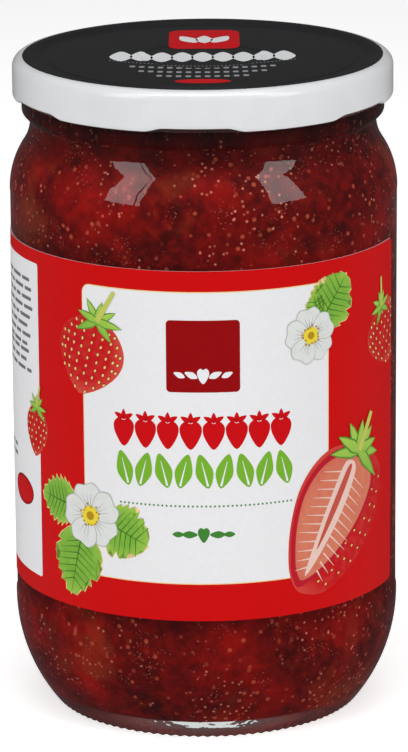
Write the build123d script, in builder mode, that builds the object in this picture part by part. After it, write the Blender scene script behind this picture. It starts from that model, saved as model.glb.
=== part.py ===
from build123d import *
from math import acos, asin, cos, radians, sin, tan
import os

# Jam jar with a twist-off lid. Millimetres, +Z up, the front of the label faces -Y, and the
# origin is on the surface that the jar stands on, on its axis. In a profile, X is the radius
# and Y is the height.

# ---- Glass body, outside ----
panel_r = 43.5            # label panel
ridge_rise = 0.22         # lower edge of the label panel stands this proud
shoulder_rise = 0.07      # upper edge of the label panel stands this proud
heel_top_z = 24.5         # where the rounded heel starts
ridge_h = 0.9             # straight band above the heel
ridge_slope_h = 0.6
heel_arc_r = 38.0
foot_round_r = 1.5        # between heel and bearing ring
bearing_in_r = 32.2
push_up_r = 30.6          # hollow under the base
push_up_edge_z = 0.9
push_up_z = 1.8
shoulder_z = 119.5        # where the panel ends and the shoulder starts
shoulder_convex_r = 18.5
shoulder_concave_r = 9.5

# ---- Glass neck ----
groove_r = 38.8           # narrowest place, between shoulder and bead
bead_r = 40.6             # transfer bead just under the lid
bead_flank_h = 1.75
bead_h = 3.72            # from the top of that flank
bead_round_r = 1.25
groove_h = 0.3
groove_round_r = 0.4
finish_r = 39.2           # plain neck that the lid covers
finish_h = 7.5            # rim above the bead
rim_out_round_r = 1.2
rim_in_round_r = 0.8

# ---- Glass inside ----
wall = 2.6
bore_r = 35.25
inner_heel_arc_r = 33.0
floor_z = 5.0             # at the rim of the inner floor
floor_rise = 1.2          # the floor follows the hollow under the base
floor_round_r = 3.5

# ---- Jam ----
headspace_h = 6.8         # from the jam up to the rim
jam_gap = 0.1             # from the glass, all round

# ---- Lid, pressed from thin sheet ----
sheet = 0.3
lid_r = 42.57
skirt_h = 9.15            # from the crest down to the rolled edge
crest_rise = 0.8          # the raised outer ring, above the bottom of the groove beside it
crest_in_r = 38.8
lid_corner_r = 2.3
groove_out_r = 36.9
groove_in_r = 34.9
panel_rise = 0.25         # the flat centre, above the bottom of that groove
panel_step_w = 0.5
button_r = 14.2           # safety button in the middle
button_drop = 0.25
button_step_w = 1.0
button_round_r = 0.8      # outer face of the sheet, at its bends
step_round_r = 0.4
crest_round_r = 0.9
curl_r = 1.0              # rolled lower edge
curl_w = 2.1
curl_tail_h = 0.9
lug_count = 6
lug_span = 25.0           # degrees
lug_turn = -2.5           # degrees, of the front lug from the middle of the front
lug_lift = 0.75           # the edge is pushed up this far where a lug is bent in
lug_thick = 0.9
lug_round_r = 0.25
lug_push = 0.1            # the skirt is pushed in this far at a lug
lug_root_h = 0.8          # height over which a lug joins the skirt
lug_lap = 0.4             # degrees, into the rolled edge at either side
lug_clearance = 0.5       # from the plain neck
cut_past = 1.0            # a cut runs this far past what it cuts

# ---- Paper label ----
label_foot_gap = 6.1      # above the heel
label_head_gap = 9.3      # below the shoulder
label_right = 73.0        # degrees, edge at the right of the front
label_gap = 30.0          # degrees of bare glass behind that edge
label_thick = 0.1
label_glue = 0.05
label_corner_r = 1.6


def upright(front_angle):
    """The upright plane through the axis at this angle from the front, positive to the right."""
    turn = radians(front_angle - 90)
    return Plane(
        origin=(0, 0, 0),
        x_dir=(cos(turn), sin(turn), 0),
        z_dir=(sin(turn), -cos(turn), 0),
    )


def s_curve(low, high_r, convex_r, concave_r):
    """Two tangent arcs from a point on a vertical wall inwards to a narrower vertical wall."""
    low_r, low_z = low
    turn = acos(1 - (low_r - high_r) / (convex_r + concave_r))
    high_z = low_z + (convex_r + concave_r) * sin(turn)
    middle = (low_r - convex_r * (1 - cos(turn)), low_z + convex_r * sin(turn))
    TangentArc(low, middle, tangent=(0, 1))
    TangentArc((high_r, high_z), middle, tangent=(0, -1))
    return high_r, high_z


def heel_curve(top, arc_r, bottom_z):
    """The rounded heel below top, an arc of arc_r drawn as one Bezier curve. Returns its lower end.

    As a true arc it would turn into a torus wider than its own ring, which crosses itself.
    """
    top_r, top_z = top
    turn = asin((top_z - bottom_z) / arc_r)
    end = (top_r - arc_r * (1 - cos(turn)), bottom_z)
    pull = arc_r * tan(turn / 4) * 4 / 3
    Bezier(
        top,
        (top_r, top_z - pull),
        (end[0] + pull * sin(turn), end[1] + pull * cos(turn)),
        end,
    )
    return end


def cavity(gap, top_z):
    """The inside of the glass, from its floor up to top_z, drawn in by gap. Returns its ends."""
    side = (panel_r - wall - gap, heel_top_z)
    floor_corner = heel_curve(side, inner_heel_arc_r - gap, floor_z + gap)
    TangentArc((0, floor_z + gap + floor_rise), floor_corner, tangent=(1, 0))
    Line(side, (side[0], shoulder_z))
    neck = s_curve(
        (side[0], shoulder_z),
        bore_r - gap,
        shoulder_convex_r - wall - gap,
        shoulder_concave_r + wall + gap,
    )
    top = (bore_r - gap, top_z)
    Line(neck, top)
    return floor_corner, top


def round_corner(sketch, point, radius):
    """Rounds the corner of sketch that lies at point."""
    fillet(sketch.vertices().sort_by_distance(point)[0], radius)


def sheet_strip(path, radii):
    """A closed outline of bent sheet. Its outer face follows path, and the sheet is to its right."""
    path = [Vector(point) for point in path]
    runs = [(b - a).normalized() for a, b in zip(path, path[1:])]
    sides = [Vector(run.Y, -run.X) for run in runs]
    inner = [path[0] + sides[0] * sheet]
    for point, before, after in zip(path[1:], sides, sides[1:]):
        inner.append(point + (before + after) * (sheet / (1 + before.dot(after))))
    inner.append(path[-1] + sides[-1] * sheet)
    inner_radii = []
    for radius, before, after in zip(radii, runs, runs[1:]):
        turns_to_sheet = before.cross(after).Z < 0
        inner_radii.append(radius - sheet if turns_to_sheet else radius + sheet)
    FilletPolyline(*path, radius=radii)
    FilletPolyline(*inner, radius=inner_radii)
    Line(path[0], inner[0])
    Line(path[-1], inner[-1])


# Heights that follow from the sizes above, from the shoulder up
shoulder_start = (panel_r + shoulder_rise, shoulder_z)
shoulder_bend_r = shoulder_convex_r + shoulder_concave_r
shoulder_turn = acos(1 - (shoulder_start[0] - groove_r) / shoulder_bend_r)
groove_z = shoulder_z + shoulder_bend_r * sin(shoulder_turn)
flank_z = groove_z + groove_h
bead_top_z = flank_z + bead_flank_h + bead_h
rim_z = bead_top_z + finish_h
jam_level_z = rim_z - headspace_h
lid_groove_z = rim_z + sheet
panel_z = lid_groove_z + panel_rise
crest_z = lid_groove_z + crest_rise
lid_bottom_z = crest_z - skirt_h
label_low_z = heel_top_z + label_foot_gap
label_high_z = shoulder_z - label_head_gap

# The glass, one revolved wall with a thick base
ridge_r = panel_r + ridge_rise

with BuildPart() as glass_jar:
    with BuildSketch(Plane.XZ) as glass_profile:
        with BuildLine():
            TangentArc((0, push_up_z), (push_up_r, push_up_edge_z), tangent=(1, 0))
            foot = heel_curve((ridge_r, heel_top_z), heel_arc_r, 0)
            Polyline((push_up_r, push_up_edge_z), (bearing_in_r, 0), foot)
            Polyline(
                (ridge_r, heel_top_z),
                (ridge_r, heel_top_z + ridge_h),
                (panel_r, heel_top_z + ridge_h + ridge_slope_h),
                (panel_r, shoulder_z - ridge_slope_h),
                shoulder_start,
            )
            groove = s_curve(shoulder_start, groove_r, shoulder_convex_r, shoulder_concave_r)
            FilletPolyline(
                groove,
                (groove_r, flank_z),
                (bead_r, flank_z + bead_flank_h),
                (bead_r, bead_top_z),
                (finish_r, bead_top_z),
                (finish_r, rim_z),
                (bore_r, rim_z),
                radius=[groove_round_r, bead_round_r, bead_round_r, 0, rim_out_round_r],
            )
            floor_corner, mouth = cavity(0, rim_z)
            Line((0, push_up_z), (0, floor_z + floor_rise))
        make_face()
        round_corner(glass_profile, foot, foot_round_r)
        round_corner(glass_profile, floor_corner, floor_round_r)
        round_corner(glass_profile, mouth, rim_in_round_r)
    revolve(axis=Axis.Z)
glass_jar.part.label = "glass_jar"


# The jam, solid up to its level
with BuildPart() as jam:
    with BuildSketch(Plane.XZ) as jam_profile:
        with BuildLine():
            jam_corner, jam_top = cavity(jam_gap, jam_level_z)
            Polyline(jam_top, (0, jam_level_z), (0, floor_z + jam_gap + floor_rise))
        make_face()
        round_corner(jam_profile, jam_corner, floor_round_r - jam_gap)
    revolve(axis=Axis.Z)
jam.part.label = "jam"


# The lid. Its top is drawn along the outer face of the sheet, from the middle outwards.
lug_z = lid_bottom_z + lug_lift
lug_in_r = finish_r + lug_clearance
lug_out_r = lid_r - lug_push

with BuildPart() as lid:
    with BuildSketch(Plane.XZ):
        with BuildLine():
            sheet_strip(
                [
                    (0, panel_z - button_drop),
                    (button_r - button_step_w, panel_z - button_drop),
                    (button_r, panel_z),
                    (groove_in_r - panel_step_w, panel_z),
                    (groove_in_r, lid_groove_z),
                    (groove_out_r, lid_groove_z),
                    (crest_in_r, crest_z),
                    (lid_r, crest_z),
                    (lid_r, lid_bottom_z),
                    (lid_r - curl_w, lid_bottom_z),
                    (lid_r - curl_w, lid_bottom_z + curl_r + curl_tail_h),
                ],
                [
                    button_round_r,
                    button_round_r,
                    step_round_r,
                    step_round_r,
                    step_round_r,
                    crest_round_r,
                    lid_corner_r,
                    curl_r,
                    curl_r,
                ],
            )
        make_face()
    revolve(axis=Axis.Z)

    # at each lug the rolled edge is pressed flat, pushed in and bent towards the neck
    for i in range(lug_count):
        lug_start = lug_turn + i * 360 / lug_count - lug_span / 2
        with BuildSketch(upright(lug_start)):
            with Locations((lid_r + cut_past, lug_z + lug_thick)):
                Rectangle(
                    curl_w + 2 * cut_past,
                    lug_lift + lug_thick + cut_past,
                    align=(Align.MAX, Align.MAX),
                )
        revolve(axis=Axis.Z, revolution_arc=lug_span, mode=Mode.SUBTRACT)
        with BuildSketch(upright(lug_start - lug_lap)):
            with BuildLine():
                FilletPolyline(
                    (lug_out_r, lug_z + lug_thick + lug_root_h),
                    (lug_out_r, lug_z),
                    (lug_in_r, lug_z),
                    (lug_in_r, lug_z + lug_thick),
                    (lug_out_r - sheet, lug_z + lug_thick),
                    (lug_out_r - sheet, lug_z + lug_thick + lug_root_h),
                    radius=[curl_r, lug_round_r, lug_round_r, 0],
                )
                Line(
                    (lug_out_r - sheet, lug_z + lug_thick + lug_root_h),
                    (lug_out_r, lug_z + lug_thick + lug_root_h),
                )
            make_face()
        revolve(axis=Axis.Z, revolution_arc=lug_span + 2 * lug_lap)
lid.part.label = "lid"


# The paper label, wrapped round the panel and open behind its right edge
label_in_r = panel_r + label_glue

with BuildPart() as label:
    with BuildSketch(upright(label_right + label_gap)):
        with Locations((label_in_r, label_low_z)):
            Rectangle(label_thick, label_high_z - label_low_z, align=(Align.MIN, Align.MIN))
    revolve(axis=Axis.Z, revolution_arc=360 - label_gap)
    corners = label.edges().filter_by(lambda edge: edge.length < 2 * label_thick)
    fillet(corners, label_corner_r)
label.part.label = "label"


os.makedirs("parts", exist_ok=True)
export_step(glass_jar.part, "parts/glass_jar.step")
export_step(jam.part, "parts/jam.step")
export_step(lid.part, "parts/lid.step")
export_step(label.part, "parts/label.step")
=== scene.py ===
"""A tall glass of berry jam with a twist-off lid and a printed paper label."""

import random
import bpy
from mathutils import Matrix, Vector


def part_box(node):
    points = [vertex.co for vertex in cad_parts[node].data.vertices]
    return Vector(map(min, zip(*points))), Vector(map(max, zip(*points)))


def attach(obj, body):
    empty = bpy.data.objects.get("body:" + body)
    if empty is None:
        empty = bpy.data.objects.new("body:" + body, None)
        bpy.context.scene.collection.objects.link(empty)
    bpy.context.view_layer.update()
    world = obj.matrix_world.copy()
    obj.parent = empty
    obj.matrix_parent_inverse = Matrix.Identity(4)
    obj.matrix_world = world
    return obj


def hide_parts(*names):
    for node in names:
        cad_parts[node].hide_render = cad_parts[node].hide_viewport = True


bl_info = {
    "name": "Jam Jar",
    "version": (1, 0, 0),
    "blender": (4, 5, 0),
    "location": "3D View > Sidebar > Jam Jar",
    "description": "Builds a glass jam jar with its jam, its twist-off lid and its printed label",
    "category": "Add Mesh",
}

from math import acos, asin, atan2, ceil, cos, degrees, hypot, pi, radians, sin, tan, tau

import bmesh
import bpy
from bpy.props import FloatProperty, FloatVectorProperty, IntProperty, PointerProperty
from mathutils import Matrix, Vector

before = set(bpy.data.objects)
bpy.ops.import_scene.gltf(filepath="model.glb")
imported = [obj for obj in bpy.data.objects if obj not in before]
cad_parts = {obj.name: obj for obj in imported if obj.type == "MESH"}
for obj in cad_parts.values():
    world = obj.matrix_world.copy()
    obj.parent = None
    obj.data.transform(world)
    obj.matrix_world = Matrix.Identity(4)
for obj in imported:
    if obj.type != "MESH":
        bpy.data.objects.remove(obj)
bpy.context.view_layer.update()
BODY = "root"
MM = 0.001
RIM_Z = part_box("glass_jar")[1].z
JAM_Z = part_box("jam")[1].z
LID_LOW_Z, LID_TOP_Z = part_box("lid")[0].z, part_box("lid")[1].z
LABEL_LOW_Z, LABEL_HIGH_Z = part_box("label")[0].z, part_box("label")[1].z


# ---- Sizes and colours that can be set in the sidebar ----


def length(name, millimetres, description):
    """A length property. The default is given in millimetres."""
    return FloatProperty(
        name=name,
        description=description,
        default=millimetres * MM,
        min=0.0,
        unit="LENGTH",
        precision=5,
    )


def turn(name, angle, description):
    """An angle property. The default is given in degrees."""
    return FloatProperty(
        name=name,
        description=description,
        default=radians(angle),
        subtype="ANGLE",
        unit="ROTATION",
    )


def linear(red, green, blue):
    """A print or paint colour, given in steps of 0 to 255, as the shader's light values."""
    steps = [step / 255 for step in (red, green, blue)]
    return tuple(
        s / 12.92 if s <= 0.04045 else ((s + 0.055) / 1.055) ** 2.4 for s in steps
    )


def colour(name, red, green, blue, description):
    """A colour property. The default is given in steps of 0 to 255."""
    return FloatVectorProperty(
        name=name,
        description=description,
        default=linear(red, green, blue),
        size=3,
        min=0.0,
        max=1.0,
        subtype="COLOR",
    )


class JarGlassSizes(bpy.types.PropertyGroup):
    panel_r: length("Panel radius", 43.5, "Outside radius of the wall behind the label")
    ridge_rise: length("Ridge rise", 0.22, "How far the ridge under the label stands out")
    shoulder_rise: length("Shoulder rise", 0.07, "How far the wall above the label stands out")
    heel_top_z: length("Heel top", 24.5, "Height where the rounded heel starts")
    ridge_h: length("Ridge height", 0.9, "Height of the straight band above the heel")
    ridge_slope_h: length("Ridge slope", 0.25, "Height of the slope back to the panel")
    heel_arc_r: length("Heel arc", 38.0, "Radius of the heel's curve")
    foot_round_r: length("Foot rounding", 1.5, "Radius between the heel and the bearing ring")
    bearing_in_r: length("Bearing ring", 32.2, "Inner radius of the ring that the jar stands on")
    push_up_r: length("Push-up radius", 30.6, "Radius of the hollow under the base")
    push_up_edge_z: length("Push-up edge", 0.9, "Height of the hollow's edge")
    push_up_z: length("Push-up height", 1.8, "Height of the hollow's middle")
    knurl_h: length("Knurl depth", 0.35, "Depth of the scallops in the bearing ring")
    knurl_count: IntProperty(
        name="Knurls", description="Scallops round the bearing ring", default=105, min=3
    )
    shoulder_z: length("Shoulder height", 119.5, "Height where the shoulder starts")
    convex_r: length("Shoulder curve", 18.5, "Radius of the shoulder's outward curve")
    concave_r: length("Neck curve", 9.5, "Radius of the shoulder's inward curve")
    groove_r: length("Neck radius", 38.8, "Narrowest radius, between shoulder and bead")
    bead_r: length("Bead radius", 40.6, "Radius of the bead under the lid")
    bead_flank_h: length("Bead flank", 1.75, "Height of the slope under the bead")
    bead_h: length("Bead height", 3.72, "Height of the bead's upright band")
    bead_round_r: length("Bead rounding", 1.25, "Radius of the bead's edges")
    groove_h: length("Groove height", 0.3, "Height of the straight groove under the bead")
    finish_r: length("Finish radius", 39.2, "Radius of the plain neck that the lid covers")
    rim_round_r: length("Rim rounding", 1.0, "Radius of the rim's edges")
    wall: length("Wall", 2.6, "Thickness of the glass at the panel")
    bore_r: length("Bore radius", 35.25, "Inner radius of the neck")
    inner_heel_r: length("Inner heel arc", 33.0, "Radius of the heel's curve, inside")
    floor_z: length("Floor height", 5.0, "Height of the inner floor at its rim")
    floor_rise: length("Floor rise", 1.2, "How far the floor rises to its middle")
    floor_round_r: length("Floor rounding", 3.5, "Radius at the edge of the floor")


class JamSizes(bpy.types.PropertyGroup):
    contact: length("Contact", 0.12, "How far the jam reaches into the glass, so no air shows")
    lump: length("Lumps", 2.4, "Size of the fruit lumps that show at the glass")


class LidSizes(bpy.types.PropertyGroup):
    sheet: length("Sheet", 0.3, "Thickness of the steel sheet")
    lid_r: length("Lid radius", 42.57, "Outside radius of the skirt")
    crest_rise: length("Crest rise", 0.8, "Height of the outer ring above the groove beside it")
    crest_in_r: length("Crest radius", 38.8, "Inner radius of the outer ring")
    corner_r: length("Corner rounding", 2.3, "Radius between top and skirt")
    groove_out_r: length("Groove outer radius", 36.9, "Outer radius of the groove in the top")
    groove_in_r: length("Groove inner radius", 34.9, "Inner radius of the groove in the top")
    panel_rise: length("Panel rise", 0.25, "Height of the flat middle above the groove")
    panel_step_w: length("Panel step", 0.5, "Width of the step up to the flat middle")
    button_r: length("Button radius", 14.2, "Radius of the safety button")
    button_drop: length("Button drop", 0.25, "How deep the safety button lies")
    button_step_w: length("Button step", 1.0, "Width of the step down to the button")
    curl_r: length("Curl rounding", 1.0, "Radius of the rolled edge")
    curl_w: length("Curl width", 2.1, "Width of the rolled edge")
    curl_tail_h: length("Curl tail", 0.9, "Height of the roll's end inside the skirt")
    lug_count: IntProperty(
        name="Lugs", description="Lugs pressed into the rolled edge", default=6, min=1
    )
    lug_span: turn("Lug span", 25.0, "Width of a lug round the edge")
    lug_turn: turn("Lug turn", -2.5, "Angle of the front lug from the middle of the front")
    lug_lift: length("Lug lift", 0.75, "How far the edge is pressed up at a lug")
    lug_reach: length("Lug reach", 0.77, "How far a lug reaches in past the rolled edge")
    black_r: length("Black area", 39.7, "Radius of the black enamel on the top")


class LabelSizes(bpy.types.PropertyGroup):
    glue: length("Glue", 0.05, "Gap between glass and paper")
    paper: length("Paper", 0.1, "Thickness of the paper")
    right_edge: turn("Right edge", 73.0, "Angle of the label's right edge from the front")
    bare_gap: turn("Bare gap", 30.0, "Width of the bare glass behind that edge")
    corner_r: length("Corner", 1.6, "Radius of the label's corners")
    panel_left: length("Panel left", 28.6, "From the front's middle to the white panel's left edge")
    panel_right: length("Panel right", 29.1, "From the front's middle to the white panel's right edge")
    panel_low: length("Panel bottom", 8.7, "From the label's lower edge to the white panel")
    panel_high: length("Panel top", 4.8, "From the label's upper edge to the white panel")
    panel_corner_r: length("Panel corner", 1.8, "Radius of the white panel's corners")
    strip_right: length("Side panel right", 43.8, "From the front's middle to the side panel")
    strip_left: length("Side panel left", 118.0, "From the front's middle to its far edge")
    strip_low: length("Side panel bottom", 4.0, "From the label's lower edge to the side panel")
    strip_high: length("Side panel top", 3.1, "From the label's upper edge to the side panel")
    ink: length("Ink step", 0.015, "Height of one layer of print above the next")
    bend: length("Bend step", 1.0, "Width of the strips that the print is bent in")


class PrintColours(bpy.types.PropertyGroup):
    ground: colour("Ground", 206, 8, 10, "Red of the label")
    white: colour("White", 236, 236, 238, "White of the label's panels")
    cream: colour("Cream", 246, 208, 148, "Thin outline round leaves and panels")
    plaque: colour("Plaque", 150, 6, 10, "Dark red square at the top of the front")
    title: colour("Title red", 204, 10, 18, "Upper row of ornaments")
    title_green: colour("Title green", 120, 180, 48, "Lower row of ornaments")
    amount: colour("Dark green", 66, 134, 52, "Small ornament under the dots")
    grey: colour("Grey", 120, 120, 122, "Small bars of the side panel")
    leaf: colour("Leaf", 168, 206, 86, "Light green of the leaves")
    leaf_deep: colour("Leaf shade", 92, 152, 54, "Deep green of the leaves")
    berry: colour("Berry", 200, 22, 28, "Red of the berries")
    berry_edge: colour("Berry edge", 220, 84, 72, "Light edge of the berries")
    seed: colour("Seed", 242, 204, 126, "Seeds on the berries")
    flesh: colour("Flesh", 218, 128, 100, "Flesh of the halved berry")
    core: colour("Core", 238, 204, 192, "Pale core of the halved berry")
    petal: colour("Petal", 226, 228, 226, "Petals of the blossoms")
    pollen: colour("Pollen", 238, 216, 62, "Middle of the blossoms")
    pollen_deep: colour("Pollen shade", 182, 142, 32, "Stamens of the blossoms")


class StageSettings(bpy.types.PropertyGroup):
    camera_distance: length("Camera distance", 1013.55, "From the jar's middle to the camera")
    camera_height: turn("Camera height", 15.504, "Angle of the camera above the horizon")
    camera_roll: turn("Camera roll", -0.424, "Turn of the camera about its own line of sight")
    aim_x: FloatProperty(
        name="Aim across", description="Point aimed at, sideways", default=-0.00021, unit="LENGTH"
    )
    aim_z: length("Aim height", 74.7, "Height of the point that the camera aims at")
    lens: FloatProperty(
        name="Lens", description="Focal length of the camera", default=213.16, subtype="DISTANCE_CAMERA"
    )
    box_power: FloatProperty(
        name="Soft box power", description="Power of each soft box", default=3.8, subtype="POWER"
    )
    top_power: FloatProperty(
        name="Top light power", description="Power of the light overhead", default=5.0, subtype="POWER"
    )
    floor_glow: FloatProperty(
        name="Floor glow", description="How strongly the floor shines by itself", default=0.55, min=0.0
    )
    front_power: FloatProperty(
        name="Front light power", description="Power of the high light in front", default=8.0, subtype="POWER"
    )


# ---- Building pieces ----


def arc(centre, radius, start, end, steps):
    """Points (radius, height) of an arc in a profile, from the start angle to the end angle."""
    return [
        (
            centre[0] + radius * cos(start + (end - start) * i / steps),
            centre[1] + radius * sin(start + (end - start) * i / steps),
        )
        for i in range(steps + 1)
    ]


def s_bend(low, high_r, convex_r, concave_r, steps=14):
    """Points of two tangent arcs from an upright wall inwards to a narrower upright wall."""
    bend = acos(1 - (low[0] - high_r) / (convex_r + concave_r))
    high_z = low[1] + (convex_r + concave_r) * sin(bend)
    convex = arc((low[0] - convex_r, low[1]), convex_r, 0, bend, steps)
    concave = arc((high_r + concave_r, high_z), concave_r, pi + bend, pi, steps)
    return convex + concave[1:]


def heel(top, radius, bottom_z, steps=26):
    """Points of the rounded heel, from its bottom up to the wall at top."""
    bend = asin((top[1] - bottom_z) / radius)
    return arc((top[0] - radius, top[1]), radius, -bend, 0, steps)


def profile_mesh(points, rounded=()):
    """A bmesh with the line through points (radius, height). rounded gives (point, radius, segments)."""
    bm = bmesh.new()
    line = [bm.verts.new((r, 0, z)) for r, z in points]
    for low, high in zip(line, line[1:]):
        bm.edges.new((low, high))
    for at, radius, segments in rounded:
        corner = min(line, key=lambda v: hypot(v.co.x - at[0], v.co.z - at[1]))
        ends = [(edge.other_vert(corner).co - corner.co) for edge in corner.link_edges]
        bend = pi - ends[0].angle(ends[1])
        bmesh.ops.bevel(
            bm,
            geom=[corner],
            offset=radius * tan(bend / 2),
            offset_type="OFFSET",
            segments=segments,
            profile=0.5,
            affect="VERTICES",
            clamp_overlap=False,
            material=-1,
        )
        line = list(bm.verts)
    return bm


def spin_round(bm, steps):
    """Spins the profile once round the jar's axis and closes its seam and poles."""
    bmesh.ops.spin(
        bm,
        geom=bm.verts[:] + bm.edges[:],
        cent=(0, 0, 0),
        axis=(0, 0, 1),
        angle=tau,
        steps=steps,
        use_merge=True,
        use_duplicate=False,
    )
    bmesh.ops.remove_doubles(bm, verts=bm.verts, dist=0.001 * MM)
    bmesh.ops.recalc_face_normals(bm, faces=bm.faces)


def add_piece(bm, name, materials, node, sharp=40.0):
    """Makes the bmesh an object that rides on the jar with the given materials, and hides the CAD part node if one is
    given.
    """
    mesh = bpy.data.meshes.new(name)
    bm.to_mesh(mesh)
    bm.free()
    for material in materials:
        mesh.materials.append(material)
    mesh.shade_smooth()
    mesh.set_sharp_from_angle(angle=radians(sharp))
    piece = bpy.data.objects.new(name, mesh)
    bpy.context.scene.collection.objects.link(piece)
    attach(piece, BODY)
    if node:
        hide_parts(node)
    return piece


# ---- Materials ----


class Finish:
    """A material with its Principled shader, and short ways to add pattern nodes to it."""

    def __init__(self, name, **sockets):
        self.material = bpy.data.materials.new(name)
        self.material.use_nodes = True
        self.tree = self.material.node_tree
        self.shader = self.tree.nodes["Principled BSDF"]
        for socket, value in sockets.items():
            self.shader.inputs[socket.replace("_", " ")].default_value = value

    def node(self, kind, inputs=None, **settings):
        """Adds a node. inputs gives, by socket, a value or another node's output."""
        node = self.tree.nodes.new("ShaderNode" + kind)
        for setting, value in settings.items():
            setattr(node, setting, value)
        for socket, value in (inputs or {}).items():
            self.join(value, node.inputs[socket])
        return node

    def join(self, value, socket):
        """Links an output to a socket, or sets the socket to a value."""
        if isinstance(value, bpy.types.NodeSocket):
            self.tree.links.new(value, socket)
        else:
            socket.default_value = value

    def drive(self, socket, value):
        """Links a pattern to one of the shader's own sockets."""
        self.join(value, self.shader.inputs[socket])

    def place(self):
        """The point on the object, in metres."""
        return self.node("TexCoord").outputs["Object"]

    def noise(self, size, detail=3.0, roughness=0.5, vector=None):
        """Noise from 0 to 1, with blotches of about that size in metres."""
        return self.node(
            "TexNoise",
            {
                "Vector": vector or self.place(),
                "Scale": 1 / size,
                "Detail": detail,
                "Roughness": roughness,
            },
        ).outputs["Fac"]

    def ramp(self, value, *stops):
        """A smooth change between colours or grey values. Each stop is (place, colour or value)."""
        ramp = self.node("ValToRGB", {"Fac": value})
        elements = ramp.color_ramp.elements
        while len(elements) < len(stops):
            elements.new(0.5)
        for element, (at, shade) in zip(elements, stops):
            element.position = at
            shade = (shade,) * 3 if isinstance(shade, (int, float)) else tuple(shade)
            element.color = (*shade[:3], 1.0)
        return ramp.outputs["Color"]

    def mix(self, share, first, second, blend="MIX"):
        """Mixes two colours by a share from 0 to 1."""
        mix = self.node("Mix", data_type="RGBA", blend_type=blend)
        for socket, value in ((0, share), (6, first), (7, second)):
            if not isinstance(value, (bpy.types.NodeSocket, int, float)):
                value = (*value[:3], 1.0)
            self.join(value, mix.inputs[socket])
        return mix.outputs[2]

    def bump(self, height, strength, distance):
        """Gives the surface a relief from a pattern."""
        bump = self.node("Bump", {"Height": height, "Strength": strength, "Distance": distance})
        self.drive("Normal", bump.outputs["Normal"])


def clear_glass():
    """Flint glass with a slight green cast, cords in its surface and no shadow of its own."""
    finish = Finish(
        "clear glass",
        Base_Color=(0.90, 0.95, 0.93, 1.0),
        Roughness=0.0,
        IOR=1.5,
        Transmission_Weight=1.0,
    )
    finish.bump(finish.noise(6 * MM, detail=3.0, roughness=0.6), 0.16, 0.3 * MM)
    output = finish.tree.nodes["Material Output"]
    path = finish.node("LightPath")
    clear = finish.node("BsdfTransparent", {"Color": (0.90, 0.94, 0.92, 1.0)})
    mix = finish.node(
        "MixShader",
        {0: path.outputs["Is Shadow Ray"], 1: finish.shader.outputs[0], 2: clear.outputs[0]},
    )
    finish.tree.links.new(mix.outputs[0], output.inputs["Surface"])
    return finish.material


def jam_finish(lump):
    """Dark boiled berries: deep red jelly, soft fruit lumps, brown patches, pips and froth, with a painted shadow
    that darkens the jam towards its top, under the lid.
    """
    finish = Finish("berry jam", Roughness=0.5, Specular_IOR_Level=0.05)
    place = finish.place()
    depth = finish.noise(17 * MM, detail=2.5, roughness=0.55, vector=place)
    jelly = finish.ramp(
        depth,
        (0.30, linear(52, 0, 1)),
        (0.50, linear(92, 2, 2)),
        (0.72, linear(150, 8, 5)),
    )
    fruit = finish.noise(lump, detail=4.0, roughness=0.65, vector=place)
    with_fruit = finish.mix(
        finish.ramp(fruit, (0.42, 0.0), (0.75, 0.42)), jelly, linear(170, 24, 14)
    )
    shade = finish.noise(lump * 1.7, detail=3.0, vector=place)
    with_shade = finish.mix(
        finish.ramp(shade, (0.50, 0.0), (0.72, 0.6)), with_fruit, linear(44, 0, 1)
    )
    brown = finish.noise(21 * MM, detail=4.0, roughness=0.6, vector=place)
    base = finish.mix(
        finish.ramp(brown, (0.58, 0.0), (0.74, 0.6)), with_shade, linear(136, 56, 26)
    )
    for size, gap, share, at, shade in (
        (1.5 * MM, 11 * MM, 0.8, 0.47, linear(226, 132, 112)),
        (0.7 * MM, 8 * MM, 0.6, 0.53, linear(206, 116, 96)),
        (2.6 * MM, 14 * MM, 0.7, 0.45, linear(196, 84, 60)),
    ):
        dots = finish.node("TexVoronoi", {"Vector": place, "Scale": 1 / size, "Randomness": 1.0})
        cluster = finish.noise(gap, detail=3.0, roughness=0.6, vector=place)
        shown = finish.mix(
            1.0,
            finish.ramp(dots.outputs["Distance"], (0.12, 1.0), (0.24, 0.0)),
            finish.ramp(cluster, (at, 0.0), (at + 0.10, share)),
            blend="MULTIPLY",
        )
        base = finish.mix(shown, base, shade)
    # Painted shadow: the jam's colour is darkened from 128 mm up to 139 mm, where the lid shades it, down to about a
    # sixth of its colour at the top.
    height = finish.node("SeparateXYZ", {"Vector": place}).outputs["Z"]
    painted_lid_shadow_share = finish.node(
        "MapRange", {"Value": height, "From Min": 128 * MM, "From Max": 139 * MM}
    ).outputs["Result"]
    dark = finish.ramp(painted_lid_shadow_share, (0.0, 1.0), (0.7, 0.55), (1.0, 0.16))
    finish.drive("Base Color", finish.mix(1.0, base, dark, blend="MULTIPLY"))
    return finish.material


def enamel(name, shade, roughness, coat):
    """Enamel on steel sheet, with a faint unevenness from the press."""
    finish = Finish(name, Roughness=roughness, Coat_Weight=coat, Coat_Roughness=0.06)
    cloud = finish.noise(9 * MM, detail=2.0)
    finish.drive(
        "Base Color",
        finish.mix(finish.ramp(cloud, (0.35, 0.0), (0.65, 1.0)), [v * 0.965 for v in shade], shade),
    )
    fine = finish.noise(0.25 * MM, detail=2.0)
    finish.bump(fine, 0.08, 0.02 * MM)
    return finish.material


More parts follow.
